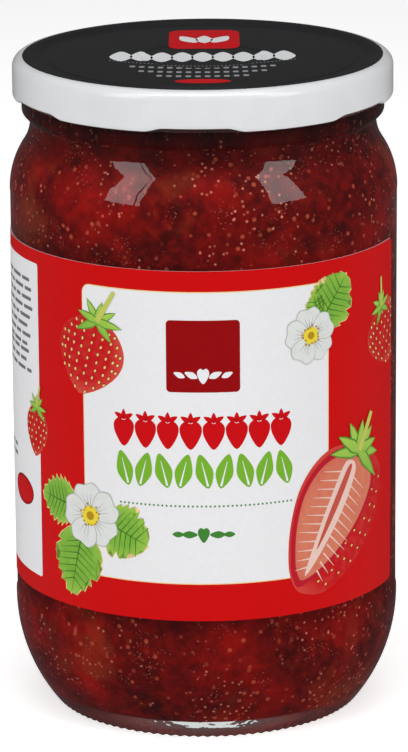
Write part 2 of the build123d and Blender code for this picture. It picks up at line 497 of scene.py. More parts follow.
def ink(name, shade, roughness=0.45, edge=None, reach=1.0):
    """Ink on coated paper, with the paper's mottle. With edge, the shade turns to it outwards."""
    finish = Finish(name, Roughness=roughness, Specular_IOR_Level=0.05)
    shade = tuple(shade)[:3]
    base = shade
    if edge is not None:
        spot = finish.node("UVMap", uv_map="motif").outputs["UV"]
        ball = finish.node("TexGradient", {"Vector": spot}, gradient_type="SPHERICAL")
        cloud = finish.noise(1.6 * MM, detail=3.0)
        base = finish.ramp(
            ball.outputs["Fac"], (0.0, edge), (0.10 * reach, edge), (0.42 * reach, shade), (1.0, shade)
        )
        base = finish.mix(finish.ramp(cloud, (0.45, 0.0), (0.8, 0.35)), base, edge)
    mottle = finish.noise(0.9 * MM, detail=4.0, roughness=0.7)
    tone = finish.ramp(mottle, (0.3, 0.955), (0.7, 1.0))
    finish.drive("Base Color", finish.mix(1.0, base, tone, blend="MULTIPLY"))
    finish.bump(finish.noise(0.35 * MM, detail=3.0), 0.05, 0.02 * MM)
    return finish.material


# ---- The glass, the jam and the lid ----


def cavity_points(s, reach, top_z):
    """The inside of the glass, from its floor's middle up to top_z, moved out by reach."""
    side = (s.panel_r - s.wall + reach, s.heel_top_z)
    wall_heel = heel(side, s.inner_heel_r + reach, s.floor_z - reach)
    corner = wall_heel[0]
    dome_r = (corner[0] ** 2 + s.floor_rise**2) / (2 * s.floor_rise)
    floor = arc(
        (0, s.floor_z - reach + s.floor_rise - dome_r),
        dome_r,
        pi / 2,
        pi / 2 - asin(corner[0] / dome_r),
        12,
    )
    neck = s_bend(
        (side[0], s.shoulder_z),
        s.bore_r + reach,
        s.convex_r - s.wall + reach,
        s.concave_r + s.wall - reach,
    )
    return floor[:-1] + wall_heel + neck + [(s.bore_r + reach, top_z)], corner


class JAMJAR_OT_add_glass(bpy.types.Operator):
    """Adds the glass: one wall with a knurled foot, a ridge, a shoulder, a bead and a rim"""

    bl_idname = "jamjar.add_glass"
    bl_label = "Glass"

    def execute(self, context):
        s = context.scene.jar_glass
        ridge_r = s.panel_r + s.ridge_rise
        ridge_z = s.heel_top_z + s.ridge_h
        outer_heel = heel((ridge_r, s.heel_top_z), s.heel_arc_r, 0)
        foot = outer_heel[0]
        dome_r = (s.push_up_r**2 + (s.push_up_z - s.push_up_edge_z) ** 2) / (
            2 * (s.push_up_z - s.push_up_edge_z)
        )
        under = arc(
            (0, s.push_up_z - dome_r), dome_r, pi / 2, pi / 2 - asin(s.push_up_r / dome_r), 10
        )
        shoulder = s_bend(
            (s.panel_r + s.shoulder_rise, s.shoulder_z), s.groove_r, s.convex_r, s.concave_r
        )
        groove_z = shoulder[-1][1] + s.groove_h
        bead_z = groove_z + s.bead_flank_h
        bead_low, bead_top = (s.bead_r, bead_z), (s.bead_r, bead_z + s.bead_h)
        rim_out, rim_in = (s.finish_r, RIM_Z), (s.bore_r, RIM_Z)
        inside, floor_corner = cavity_points(s, 0, RIM_Z)
        bm = profile_mesh(
            under
            + [(s.bearing_in_r, 0), ((s.bearing_in_r + foot[0]) / 2, 0)]
            + outer_heel
            + [
                (ridge_r, ridge_z),
                (s.panel_r, ridge_z + s.ridge_slope_h),
                (s.panel_r, s.shoulder_z - s.ridge_slope_h),
            ]
            + shoulder
            + [(s.groove_r, groove_z), bead_low, bead_top, (s.finish_r, bead_top[1])]
            + [rim_out, ((rim_out[0] + rim_in[0]) / 2, RIM_Z)]
            + inside[::-1],
            [
                (foot, s.foot_round_r, 5),
                (floor_corner, s.floor_round_r, 6),
                (bead_low, s.bead_round_r, 6),
                (bead_top, s.bead_round_r, 6),
                (rim_out, s.rim_round_r, 6),
                (rim_in, s.rim_round_r * 0.75, 5),
            ],
        )
        spin_round(bm, 4 * s.knurl_count)
        for v in bm.verts:
            r = hypot(v.co.x, v.co.y)
            if s.push_up_r * 1.01 < r < s.panel_r and v.co.z < 2.4 * MM and v.co.z < r:
                ring = max(0.0, 1 - v.co.z / (2.4 * MM))
                wave = 0.5 - 0.5 * cos(atan2(v.co.x, -v.co.y) * s.knurl_count)
                v.co.z += s.knurl_h * wave * ring
        add_piece(bm, "glass", [clear_glass()], "glass_jar", sharp=50.0)
        return {"FINISHED"}


class JAMJAR_OT_add_jam(bpy.types.Operator):
    """Adds the jam, which fills the glass up to its level and reaches just into the wall"""

    bl_idname = "jamjar.add_jam"
    bl_label = "Jam"

    def execute(self, context):
        s, jam = context.scene.jar_glass, context.scene.jar_jam
        inside, floor_corner = cavity_points(s, jam.contact, JAM_Z)
        bm = profile_mesh(inside + [(0, JAM_Z)], [(floor_corner, s.floor_round_r, 6)])
        spin_round(bm, 180)
        add_piece(bm, "jam_filling", [jam_finish(jam.lump)], "jam")
        return {"FINISHED"}


def lid_points(s):
    """The outer face of the lid's sheet, from the middle of its top to the end of its roll."""
    groove_z = LID_TOP_Z - s.crest_rise
    panel_z = groove_z + s.panel_rise
    tail_r = s.lid_r - s.curl_w
    corners = [
        ((s.button_r - s.button_step_w, panel_z - s.button_drop), 0.8 * MM, 3),
        ((s.button_r, panel_z), 0.8 * MM, 3),
        ((s.groove_in_r - s.panel_step_w, panel_z), 0.4 * MM, 3),
        ((s.groove_in_r, groove_z), 0.4 * MM, 3),
        ((s.groove_out_r, groove_z), 0.4 * MM, 3),
        ((s.crest_in_r, LID_TOP_Z), 0.9 * MM, 4),
        ((s.lid_r, LID_TOP_Z), s.corner_r, 8),
        ((s.lid_r, LID_LOW_Z), s.curl_r, 6),
        ((tail_r, LID_LOW_Z), s.curl_r, 6),
    ]
    path = [(0, panel_z - s.button_drop)] + [corner for corner, _, _ in corners]
    path.insert(8, (s.lid_r, (LID_TOP_Z + LID_LOW_Z) / 2))
    path.append((tail_r, LID_LOW_Z + s.curl_r + s.curl_tail_h))
    return path, corners


def lid_height(s, r):
    """Height of the lid's top at this radius."""
    path, _ = lid_points(s)
    for (r0, z0), (r1, z1) in zip(path, path[1:]):
        if r0 <= r <= r1:
            return z0 + (z1 - z0) * (r - r0) / max(r1 - r0, 1e-9)
    return LID_TOP_Z


class JAMJAR_OT_add_lid(bpy.types.Operator):
    """Adds the lid: pressed sheet with a safety button, a white skirt and lugs in its edge"""

    bl_idname = "jamjar.add_lid"
    bl_label = "Lid"

    def execute(self, context):
        s = context.scene.jar_lid
        path, corners = lid_points(s)
        bm = profile_mesh(path, corners)
        spin_round(bm, 288)
        if max(bm.faces, key=lambda f: f.calc_center_median().z).normal.z < 0:
            bmesh.ops.reverse_faces(bm, faces=bm.faces)
        step = tau / s.lug_count
        for v in bm.verts:
            above = (v.co.z - LID_LOW_Z) / (3.2 * MM)
            if above >= 1:
                continue
            angle = atan2(v.co.x, -v.co.y) - s.lug_turn
            off = abs((angle + step / 2) % step - step / 2)
            inside = min(1.0, max(0.0, (s.lug_span / 2 + radians(3.0) - off) / radians(6.0)))
            press = inside * inside * (3 - 2 * inside)
            r = hypot(v.co.x, v.co.y)
            share = min(1.0, (s.lid_r - r) / s.curl_w)
            new_r = r - press * (0.1 * MM + s.lug_reach * share) * (1 - above)
            v.co.x, v.co.y = v.co.x * new_r / r, v.co.y * new_r / r
            v.co.z += press * s.lug_lift * (1 - above)
        bm.normal_update()
        for face in bm.faces:
            middle = face.calc_center_median()
            black = hypot(middle.x, middle.y) < s.black_r and middle.z > LID_TOP_Z - 2 * MM
            face.material_index = 1 if black and face.normal.z > 0 else 0
        bmesh.ops.solidify(bm, geom=bm.faces[:], thickness=s.sheet)
        add_piece(
            bm,
            "twist_lid",
            [
                enamel("white enamel", linear(232, 233, 235), 0.25, 0.4),
                enamel("black enamel", linear(26, 27, 29), 0.34, 0.15),
            ],
            "lid",
        )
        return {"FINISHED"}


# ---- The label and what is printed on it ----


def rounded_box(left, low, right, high, radius, steps=5):
    """Outline of a rectangle with rounded corners."""
    outline = []
    for i, (x, y) in enumerate(
        [
            (right - radius, low + radius),
            (right - radius, high - radius),
            (left + radius, high - radius),
            (left + radius, low + radius),
        ]
    ):
        outline += arc((x, y), radius, (i - 1) * pi / 2, i * pi / 2, steps)
    return outline


def smooth_outline(points, steps=6):
    """A closed smooth line through points."""
    outline = []
    for i in range(len(points)):
        a, b, c, d = (Vector(points[(i + k) % len(points)]) for k in (-1, 0, 1, 2))
        for j in range(steps):
            t = j / steps
            outline.append(
                tuple(
                    0.5
                    * (
                        2 * b
                        + (c - a) * t
                        + (2 * a - 5 * b + 4 * c - d) * t * t
                        + (3 * b - a - 3 * c + d) * t**3
                    )
                )
            )
    return outline


def oval(x, y, half_w, half_h, steps=16):
    """Outline of an oval."""
    return [
        (x + half_w * cos(tau * i / steps), y + half_h * sin(tau * i / steps)) for i in range(steps)
    ]


class Motif:
    """A drawing in its own measure: its origin, turn and scale place it on the print."""

    def __init__(self, sheet, x, y, angle=0.0, scale=1.0, spot=(0.0, 0.0), spot_size=1.0):
        self.sheet = sheet
        self.move = Matrix.Translation((x, y, 0)) @ Matrix.Rotation(radians(angle), 4, "Z")
        self.scale = scale
        self.spot, self.spot_size = spot, spot_size

    def at(self, point):
        """Where a point of the drawing lies on the print."""
        moved = self.move @ Vector((point[0] * self.scale, point[1] * self.scale, 0))
        return moved.x, moved.y

    def shape(self, outline, material, layer):
        """Prints one filled outline of the drawing."""
        spots = [
            ((x - self.spot[0]) / self.spot_size, (y - self.spot[1]) / self.spot_size)
            for x, y in outline
        ]
        self.sheet.shape([self.at(point) for point in outline], material, layer, spots)

    def stroke(self, start, end, width, material, layer, taper=0.2):
        """Prints a thin line that narrows to its end."""
        start, end = Vector(start), Vector(end)
        side = (end - start).orthogonal().normalized() * width / 2
        self.shape(
            [start - side, end - side * taper, end + side * taper, start + side], material, layer
        )


class PrintSheet:
    """Flat printed shapes, across and up in metres, that are then laid on the jar or the lid."""

    def __init__(self, step):
        self.bm = bmesh.new()
        self.spots = self.bm.loops.layers.uv.new("motif")
        self.step = step
        self.inks = []

    def ink(self, name, shade, **options):
        """Adds an ink and returns its number."""
        self.inks.append(ink(name, shade, **options))
        return len(self.inks) - 1

    def shape(self, outline, material, layer, spots=None):
        """Prints one filled outline, as many layers up as layer says."""
        spots = spots or outline
        area = sum(
            a[0] * b[1] - b[0] * a[1] for a, b in zip(outline, outline[1:] + outline[:1])
        )
        if area < 0:
            outline, spots = outline[::-1], spots[::-1]
        face = self.bm.faces.new(
            [self.bm.verts.new((x, -layer * self.step, y)) for x, y in outline]
        )
        face.material_index = material
        for loop, spot in zip(face.loops, spots):
            loop[self.spots].uv = spot

    def cut(self, axis, width):
        """Cuts the shapes into strips, so that they can bend."""
        bmesh.ops.triangulate(self.bm, faces=self.bm.faces, ngon_method="EAR_CLIP")
        places = [v.co[axis] for v in self.bm.verts]
        normal = Vector((0, 0, 0))
        normal[axis] = 1
        for i in range(ceil(min(places) / width), ceil(max(places) / width)):
            near = [
                face
                for face in self.bm.faces
                if min(v.co[axis] for v in face.verts) < i * width < max(v.co[axis] for v in face.verts)
            ]
            if near:
                edges = {edge for face in near for edge in face.edges}
                verts = {v for face in near for v in face.verts}
                bmesh.ops.bisect_plane(
                    self.bm,
                    geom=[*verts, *edges, *near],
                    plane_co=normal * i * width,
                    plane_no=normal,
                    dist=1e-8,
                )

    def trim(self, axis, place):
        """Cuts off what lies past a place."""
        at, normal = Vector((0, 0, 0)), Vector((0, 0, 0))
        at[axis], normal[axis] = place, 1
        geometry = self.bm.verts[:] + self.bm.edges[:] + self.bm.faces[:]
        bmesh.ops.bisect_plane(
            self.bm, geom=geometry, plane_co=at, plane_no=normal, dist=1e-8, clear_outer=True
        )

    def wrap(self, radius):
        """Bends the print round the jar."""
        for v in self.bm.verts:
            angle, r = v.co.x / radius, radius - v.co.y
            v.co = (r * sin(angle), -r * cos(angle), v.co.z)
        self.bm.normal_update()

    def lay(self, height):
        """Lays the print on the lid's top, whose height depends on the radius."""
        for v in self.bm.verts:
            across, up, layer = v.co.x, v.co.z, -v.co.y
            v.co = (across, up, height(hypot(across, up)) + layer)
        self.bm.normal_update()


def berry_half_width(along):
    """Half the width of a berry, as a share of the widest, from its tip at 0 to its top at 1."""
    return sin(pi * along**1.22) ** 0.58 if 0 < along < 1 else 0.0


def berry_outline(width, height, steps=18):
    """Outline of a berry that hangs tip down, with its middle at the origin."""
    right = [
        (width / 2 * berry_half_width(i / steps), height * (i / steps - 0.5))
        for i in range(1, steps)
    ]
    tip = [(0, -height / 2)]
    top = [(0, height * 0.49)]
    return tip + right + top + [(-x, y) for x, y in reversed(right)]


def draw_seed(motif, x, y, size, lean, rim, seed, layer):
    """One seed: a light drop in a darker dimple."""
    drop = [(cos(a) * 0.55, sin(a) * (1.0 if sin(a) > 0 else 0.7)) for a in (tau * i / 8 for i in range(8))]
    bend = Matrix.Rotation(lean, 2)
    for scale, material, step in ((0.62, rim, 0), (0.42, seed, 1)):
        motif.shape(
            [tuple(bend @ Vector(p) * size * scale + Vector((x, y))) for p in drop],
            material,
            layer + step,
        )


def draw_sepals(motif, x, y, size, spread, count, inks, layer, rng):
    """A calyx: pointed sepals that spread from the stem."""
    for i in range(count):
        share = i / (count - 1) * 2 - 1
        angle = radians(90 - share * spread) + rng.uniform(-0.08, 0.08)
        reach = size * rng.uniform(0.85, 1.12) * (0.8 + 0.3 * abs(share))
        ahead = Vector((cos(angle), sin(angle)))
        side = Vector((-ahead.y, ahead.x)) * size * 0.19
        root = Vector((x, y))
        for grow, material, step in ((1.0, inks["leaf_deep"], 0), (0.72, inks["leaf"], 1)):
            motif.shape(
                [
                    tuple(root + ahead * reach * a * (0.96 if step else 1) + side * b * grow)
                    for a, b in ((0, -0.6), (0.35, -1.0), (0.75, -0.55), (1.0, 0.0), (0.7, 0.6), (0.3, 1.0), (0, 0.6))
                ],
                material,
                layer + step + 2 * (i % 2),
            )


def draw_berry(sheet, x, y, width, height, angle, inks, rng, layer=3, pitch=1.75 * MM):
    """A whole berry with its seeds, sepals and stem."""
    motif = Motif(sheet, x, y, angle, spot=(-width * 0.08, height * 0.04), spot_size=height * 0.62)
    motif.shape(berry_outline(width, height), inks["berry"], layer)
    rows = int(height / pitch)
    for row in range(rows):
        along = (row + 0.6) / rows
        half = width / 2 * berry_half_width(along)
        count = max(1, int(2 * half / pitch))
        for k in range(count):
            across = (k + 0.5 * (1 + row % 2)) / count * 2 - 1
            if abs(across) > 0.93:
                continue
            bulge = sin(across * pi / 2 * 0.92)
            draw_seed(
                motif,
                half * bulge * 0.94 + rng.uniform(-0.1, 0.1) * MM,
                height * (along - 0.5) - abs(bulge) ** 2 * pitch * 0.25,
                pitch * 0.66,
                -bulge * 0.5,
                inks["dimple"],
                inks["seed"],
                layer + 1,
            )
    top = height * 0.44
    draw_sepals(motif, 0, top, height * 0.30, 128, 7, inks, layer + 3, rng)
    motif.stroke((0, top), (width * 0.12, top + height * 0.42), height * 0.07, inks["stem"], layer + 8, 0.7)


def draw_leaf(sheet, base, tip, width, teeth, inks, layer=2, outline=True):
    """A toothed leaf with a rib and side veins."""
    base, tip = Vector(base), Vector(tip)
    reach = (tip - base).length
    angle = degrees(atan2(tip.y - base.y, tip.x - base.x))
    motif = Motif(sheet, base.x, base.y, angle, spot=(reach * 0.5, 0), spot_size=reach * 0.75)

    def edge(grow):
        half = []
        for i in range(2 * teeth + 1):
            along = i / (2 * teeth)
            bulge = sin(pi * min(1.0, along * 0.93 + 0.07) ** 0.85) ** 0.75
            notch = 1.03 if i % 2 else 0.80
            half.append((along * reach + (0.05 * reach if i % 2 else 0), width / 2 * bulge * notch + grow))
        low = [(x, -y) for x, y in half]
        return [(-grow, 0)] + low + [(reach + grow * 2, 0)] + half[::-1]

    if outline:
        motif.shape(edge(0.25 * MM), inks["cream"], layer)
    motif.shape(edge(0), inks["leaf"], layer + 1)
    motif.stroke((0, 0), (reach * 0.96, 0), 0.5 * MM, inks["vein"], layer + 2)
    for i in range(1, teeth):
        along = i / teeth * 0.86
        out = width / 2 * sin(pi * along**0.85) ** 0.75 * 0.86
        for side in (-1, 1):
            motif.stroke(
                (along * reach, 0),
                (along * reach + reach * 0.14, side * out),
                0.3 * MM,
                inks["vein"],
                layer + 2,
            )


def draw_blossom(sheet, x, y, size, angle, inks, rng, layer=5):
    """An open blossom with five petals and a yellow middle."""
    for i in range(5):
        motif = Motif(sheet, x, y, angle + 72 * i, spot=(0, size * 0.38), spot_size=size * 0.5)
        petal = smooth_outline(
            [
                (0, size * 0.04),
                (size * 0.17, size * 0.16),
                (size * 0.25, size * 0.34),
                (size * 0.15, size * 0.49),
                (0, size * 0.475),
                (-size * 0.16, size * 0.485),
                (-size * 0.25, size * 0.33),
                (-size * 0.16, size * 0.15),
            ],
            4,
        )
        middle = Vector((0, size * 0.28))
        motif.shape(
            [tuple(middle + (Vector(p) - middle) * 1.05) for p in petal],
            inks["petal_edge"],
            layer + 2 * (i % 3),
        )
        motif.shape(petal, inks["petal"], layer + 1 + 2 * (i % 3))
        for k in (-1, 0, 1):
            motif.stroke(
                (k * size * 0.03, size * 0.16),
                (k * size * 0.09, size * 0.34),
                0.22 * MM,
                inks["petal_edge"],
                layer + 2 + 2 * (i % 3),
            )
    centre = Motif(sheet, x, y, angle, spot_size=size * 0.2)
    centre.shape(oval(0, 0, size * 0.155, size * 0.155, 18), inks["pollen"], layer + 8)
    for i in range(16):
        a = tau * i / 16 + rng.uniform(-0.1, 0.1)
        out = size * rng.uniform(0.13, 0.19)
        centre.shape(oval(out * cos(a), out * sin(a), 0.26 * MM, 0.26 * MM, 6), inks["pollen_deep"], layer + 9)
    centre.shape(oval(0, 0, size * 0.07, size * 0.07, 12), inks["pollen_deep"], layer + 9)


def draw_half_berry(sheet, x, y, width, height, angle, inks, rng, layer=3):
    """A berry cut in half: skin with seeds at one side, flesh with pale ribs and a core."""
    motif = Motif(sheet, x, y, angle, spot=(width * 0.2, 0), spot_size=height * 0.7)
    skin = smooth_outline(
        [
            (-width * 0.02, -height * 0.5),
            (width * 0.16, -height * 0.44),
            (width * 0.36, -height * 0.22),
            (width * 0.49, height * 0.06),
            (width * 0.5, height * 0.28),
            (width * 0.38, height * 0.44),
            (width * 0.12, height * 0.49),
            (-width * 0.2, height * 0.46),
            (-width * 0.4, height * 0.34),
            (-width * 0.48, height * 0.12),
            (-width * 0.42, -height * 0.14),
            (-width * 0.28, -height * 0.38),
            (-width * 0.14, -height * 0.49),
        ],
        5,
    )
    motif.shape(skin, inks["berry"], layer)
    for row in range(9):
        for k in range(3):
            along = -0.40 + row * 0.095
            edge = (0.17, 0.285, 0.36, 0.42, 0.46, 0.485, 0.495, 0.49, 0.45)[row]
            across = edge - 0.035 - 0.085 * k - 0.02 * (row % 2)
            draw_seed(
                motif, width * across, height * along, 1.0 * MM, -0.5, inks["dimple"], inks["seed"], layer + 1
            )
    cut = smooth_outline(
        [
            (-width * 0.1, -height * 0.47),
            (width * 0.02, -height * 0.36),
            (width * 0.15, -height * 0.18),
            (width * 0.27, height * 0.04),
            (width * 0.33, height * 0.24),
            (width * 0.31, height * 0.38),
            (width * 0.12, height * 0.46),
            (-width * 0.18, height * 0.44),
            (-width * 0.37, height * 0.32),
            (-width * 0.45, height * 0.11),
            (-width * 0.40, -height * 0.13),
            (-width * 0.27, -height * 0.36),
            (-width * 0.17, -height * 0.46),
        ],
        5,
    )
    middle = Vector((-width * 0.06, 0))
    for scale, material, step in ((1.0, "rim", 3), (0.90, "flesh", 4)):
        motif.shape(
            [tuple(middle + (Vector(p) - middle) * scale) for p in cut], inks[material], layer + step
        )
    for i in range(12):
        along = 0.30 - i * 0.058
        reach = width * (0.26 if i < 8 else 0.26 - 0.035 * (i - 7))
        for side in (-1, 1):
            root = (-width * 0.06 + side * width * 0.05, height * along)
            motif.stroke(
                root,
                (root[0] + side * reach * 0.82, height * (along - 0.05)),
                0.42 * MM,
                inks["core"],
                layer + 5,
            )
    motif.shape(
        smooth_outline(
            [
                (-width * 0.10, -height * 0.40),
                (-width * 0.02, -height * 0.15),
                (width * 0.035, height * 0.15),
                (width * 0.02, height * 0.36),
                (-width * 0.12, height * 0.36),
                (-width * 0.15, height * 0.12),
                (-width * 0.14, -height * 0.15),
            ],
            4,
        ),
        inks["core"],
        layer + 6,
    )
    motif.shape(
        smooth_outline(
            [
                (-width * 0.09, -height * 0.22),
                (-width * 0.045, height * 0.05),
                (-width * 0.025, height * 0.33),
                (-width * 0.075, height * 0.33),
                (-width * 0.105, height * 0.05),
            ],
            4,
        ),
        inks["slit"],
        layer + 7,
    )
    top = height * 0.46
    draw_sepals(motif, 0, top, height * 0.24, 112, 8, inks, layer + 8, rng)
    motif.stroke((0, top), (width * 0.02, top + height * 0.26), height * 0.045, inks["stem"], layer + 13, 0.8)


def draw_heart(sheet, x, y, size, material, layer):
    """A small plump berry mark."""
    Motif(sheet, x, y).shape(
        smooth_outline(
            [
                (0, -size * 0.52),
                (size * 0.30, -size * 0.12),
                (size * 0.36, size * 0.24),
                (size * 0.18, size * 0.44),
                (0, size * 0.36),
                (-size * 0.18, size * 0.44),
                (-size * 0.36, size * 0.24),
                (-size * 0.30, -size * 0.12),
            ],
            4,
        ),
        material,
        layer,
    )


def draw_leaf_mark(sheet, x, y, size, angle, material, layer):
    """A small plain leaf mark."""
    Motif(sheet, x, y, angle).shape(
        smooth_outline(
            [
                (0, -size * 0.5),
                (size * 0.24, -size * 0.1),
                (size * 0.16, size * 0.28),
                (0, size * 0.52),
                (-size * 0.16, size * 0.28),
                (-size * 0.24, -size * 0.1),
            ],
            4,
        ),
        material,
        layer,
    )


class JAMJAR_OT_add_label(bpy.types.Operator):
    """Adds the paper label, wrapped round the jar with bare glass behind its right edge"""

    bl_idname = "jamjar.add_label"
    bl_label = "Label paper"

    def execute(self, context):
        s, shades = context.scene.jar_label, context.scene.jar_print
        radius = context.scene.jar_glass.panel_r + s.glue
        right = s.right_edge * radius
        left = right - (tau - s.bare_gap) * radius
        sheet = PrintSheet(s.ink)
        sheet.shape(rounded_box(left, LABEL_LOW_Z, right, LABEL_HIGH_Z, s.corner_r), 0, 0)
        sheet.cut(0, s.bend)
        sheet.wrap(radius)
        bm = sheet.bm
        bmesh.ops.solidify(bm, geom=bm.faces[:], thickness=-s.paper)
        bmesh.ops.recalc_face_normals(bm, faces=bm.faces)
        for face in bm.faces:
            middle = face.calc_center_median()
            outward = Vector((middle.x, middle.y, 0))
            printed = face.normal.dot(outward.normalized()) > 0.5
            face.material_index = 0 if printed else 1
        add_piece(
            bm,
            "label_paper",
            [ink("label red", shades.ground), ink("bare paper", shades.white, roughness=0.7)],
            "label",
        )
        return {"FINISHED"}


class JAMJAR_OT_print_label(bpy.types.Operator):
    """Prints the label: white panels, rows of ornaments, berries, leaves and blossoms"""

    bl_idname = "jamjar.print_label"
    bl_label = "Label print"

    def execute(self, context):
        s, shades = context.scene.jar_label, context.scene.jar_print
        rng = random.Random(7)
        sheet = PrintSheet(s.ink)
        inks = {
            "white": sheet.ink("white print", shades.white),
            "cream": sheet.ink("cream print", shades.cream),
            "plaque": sheet.ink("dark red print", shades.plaque),
            "title": sheet.ink("title red print", shades.title),
            "title_green": sheet.ink("title green print", shades.title_green),
            "amount": sheet.ink("dark green print", shades.amount),
            "grey": sheet.ink("grey print", shades.grey),
            "leaf": sheet.ink("leaf print", linear(122, 178, 62), edge=shades.leaf, reach=1.5),
            "leaf_deep": sheet.ink("leaf shade print", shades.leaf_deep),
            "vein": sheet.ink("vein print", linear(74, 126, 42)),
            "stem": sheet.ink("stem print", linear(196, 202, 96)),
            "berry": sheet.ink("berry print", shades.berry, edge=shades.berry_edge),
            "dimple": sheet.ink("dimple print", linear(140, 14, 18)),
            "seed": sheet.ink("seed print", shades.seed),
            "rim": sheet.ink("cut rim print", linear(190, 26, 46)),
            "flesh": sheet.ink("flesh print", shades.flesh, edge=linear(204, 74, 66)),
            "core": sheet.ink("core print", shades.core),
            "slit": sheet.ink("slit print", linear(200, 86, 72)),
            "petal": sheet.ink("petal print", shades.petal, edge=linear(196, 200, 194), reach=0.8),
            "petal_edge": sheet.ink("petal shade print", linear(176, 182, 172)),
            "pollen": sheet.ink("pollen print", shades.pollen),
            "pollen_deep": sheet.ink("stamen print", shades.pollen_deep),
        }
        self.front_panel(sheet, s, inks)
        self.side_panel(sheet, s, inks)
        self.fruit(sheet, inks, rng)
        sheet.cut(0, s.bend)
        sheet.trim(0, s.right_edge * (context.scene.jar_glass.panel_r + s.glue) - 0.05 * MM)
        sheet.wrap(context.scene.jar_glass.panel_r + s.glue + s.paper)
        add_piece(sheet.bm, "label_print", sheet.inks, None)
        return {"FINISHED"}

    def front_panel(self, sheet, s, inks):
        """The white panel with its plaque, two rows of ornaments, dots and a small mark."""
        low, high = LABEL_LOW_Z + s.panel_low, LABEL_HIGH_Z - s.panel_high
        line = 0.22 * MM
        sheet.shape(
            rounded_box(
                -s.panel_left - line, low - line, s.panel_right + line, high + line, s.panel_corner_r + line
            ),
            inks["cream"],
            1,
        )
        sheet.shape(rounded_box(-s.panel_left, low, s.panel_right, high, s.panel_corner_r), inks["white"], 2)
        plaque_z, half = 91.15 * MM, 8.1 * MM
        sheet.shape(
            rounded_box(-half - 0.4 * MM, plaque_z - half, half - 0.4 * MM, plaque_z + half, 0.9 * MM),
            inks["plaque"],
            3,
        )
        draw_heart(sheet, -0.4 * MM, plaque_z - 4.3 * MM, 3.6 * MM, inks["white"], 4)
        for side in (-1, 1):
            for k in (1, 2):
                draw_leaf_mark(
                    sheet, (-0.4 + side * 2.6 * k) * MM, plaque_z - 4.2 * MM, (3.4 - 0.4 * k) * MM, -side * 66, inks["white"], 4
                )
        for i in range(8):
            x = (-18.4 + i * 5.06) * MM
            draw_heart(sheet, x, 73.5 * MM, 6.7 * MM, inks["title"], 3)
            for side in (-1, 0, 1):
                draw_leaf_mark(sheet, x + side * 1.1 * MM, (77.2 - 0.3 * abs(side)) * MM, 2.4 * MM, -side * 60, inks["title"], 3)
        for i in range(9):
            x = (-18.3 + i * 4.5) * MM
            draw_leaf_mark(sheet, x, 65.0 * MM, 7.9 * MM, 14 * (-1) ** i, inks["title_green"], 3)
            Motif(sheet, x, 65.0 * MM, 14 * (-1) ** i).stroke(
                (0, -3.4 * MM), (0, 2.4 * MM), 0.5 * MM, inks["white"], 4
            )
        for i in range(41):
            x = (-19.3 + i * 0.9675) * MM
            sheet.shape(oval(x, 57.1 * MM, 0.24 * MM, 0.24 * MM, 8), inks["amount"], 3)
        draw_heart(sheet, -0.5 * MM, 50.6 * MM, 3.6 * MM, inks["amount"], 3)
        for side in (-1, 1):
            for k, size in ((1, 3.4), (2, 2.7)):
                draw_leaf_mark(
                    sheet, (-0.5 + side * (0.6 + 2.5 * k)) * MM, 50.6 * MM, size * MM, side * 90, inks["amount"], 3
                )

    def side_panel(self, sheet, s, inks):
        """The side panel, with small plain bars where a table would stand."""
        low, high = LABEL_LOW_Z + s.strip_low, LABEL_HIGH_Z - s.strip_high
        sheet.shape(rounded_box(-s.strip_left, low, -s.strip_right, high, 0.6 * MM), inks["white"], 2)
        rng = random.Random(3)
        for block, (top, lines) in enumerate(((102.6, 8), (86.0, 3), (62.0, 2))):
            for k in range(lines):
                z = (top - k * 2.15) * MM
                x = -s.strip_left + 5 * MM
                right = -s.strip_right - (1.6 + 2.2 * rng.random()) * MM
                if block == 2:
                    right = -s.strip_right - 12 * MM
                while x < right - 3 * MM:
                    wide = min(rng.uniform(2.0, 6.5) * MM, right - x)
                    sheet.shape(rounded_box(x, z - 0.42 * MM, x + wide, z + 0.42 * MM, 0.3 * MM, 2), inks["grey"], 3)
                    x += wide + 0.9 * MM
        for grow, material, layer in ((0.0, "plaque", 3), (0.5, "title", 4)):
            sheet.shape(
                oval(-53.2 * MM, 52.9 * MM, (5.9 - grow) * MM, (3.4 - grow) * MM, 28), inks[material], layer
            )
        draw_leaf(sheet, (-84 * MM, 42 * MM), (-98 * MM, 52 * MM), 9 * MM, 7, inks, 3, outline=False)
        draw_leaf(sheet, (-84 * MM, 42 * MM), (-76 * MM, 56 * MM), 9 * MM, 7, inks, 3, outline=False)

